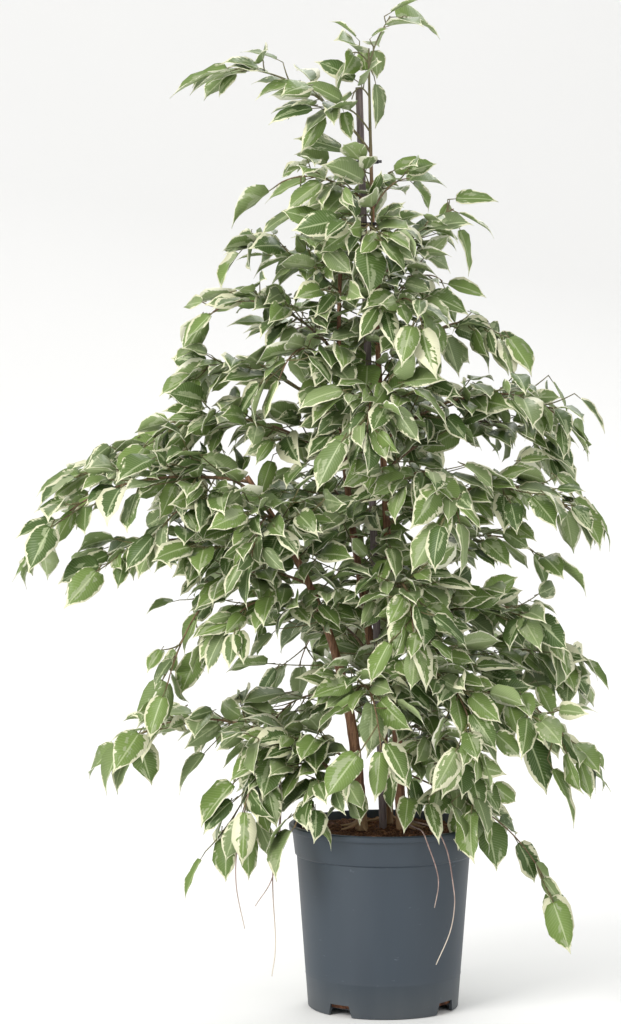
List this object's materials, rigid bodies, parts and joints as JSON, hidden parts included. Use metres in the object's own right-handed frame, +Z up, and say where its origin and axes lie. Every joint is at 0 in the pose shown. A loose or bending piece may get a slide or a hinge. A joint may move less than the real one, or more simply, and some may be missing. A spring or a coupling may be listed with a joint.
{
  "type": "weeping fig in a pot",
  "caption": "Variegated weeping fig in its round plastic nursery pot: arching leafy branches on slender stems tied to an upright stake, standing in coir soil.",
  "frame": {"origin": "middle of the pot's underside, on the pot's own axis, at the floor", "axes": "+Z up along the pot's axis, +X to the viewer's right, +Y away from the viewer, as in the picture"},
  "size_m": [0.6388, 0.4041, 1.1041],
  "materials": {
    "pot": "satin, lightly scuffed blue-grey moulded plastic",
    "soil": "matt, rough reddish-brown coir and bark",
    "stake": "satin purple-grey stained cane",
    "bark": "satin reddish-brown young bark",
    "tie": "satin black plastic",
    "foliage": "semi-gloss living leaves, green with cream margins, on green-brown shoots"
  },
  "bodies": {
    "root": {"pot": "pot", "soil": "soil", "stake": "stake", "stem_left": "bark", "stem_back": "bark", "stem_leader": "bark", "tie_1": "tie", "tie_2": "tie", "branch_01": "foliage", "branch_02": "foliage", "branch_03": "foliage", "branch_04": "foliage", "branch_05": "foliage", "branch_06": "foliage", "branch_07": "foliage", "branch_08": "foliage", "branch_09": "foliage", "branch_10": "foliage", "branch_11": "foliage", "branch_12": "foliage", "branch_13": "foliage", "branch_14": "foliage", "branch_15": "foliage", "branch_16": "foliage", "branch_17": "foliage", "branch_18": "foliage", "branch_19": "foliage", "branch_20": "foliage", "branch_21": "foliage", "branch_22": "foliage", "branch_23": "foliage", "branch_24": "foliage", "branch_25": "foliage", "branch_26": "foliage", "branch_27": "foliage", "branch_28": "foliage", "branch_29": "foliage", "branch_30": "foliage", "branch_31": "foliage", "branch_32": "foliage", "branch_33": "foliage", "branch_34": "foliage", "branch_35": "foliage", "branch_36": "foliage", "branch_37": "foliage", "branch_38": "foliage", "branch_39": "foliage", "branch_40": "foliage", "branch_41": "foliage", "branch_42": "foliage", "branch_43": "foliage", "branch_44": "foliage", "branch_45": "foliage", "branch_46": "foliage", "branch_47": "foliage", "branch_48": "foliage", "branch_49": "foliage", "branch_50": "foliage"}
  },
  "joints": []
}
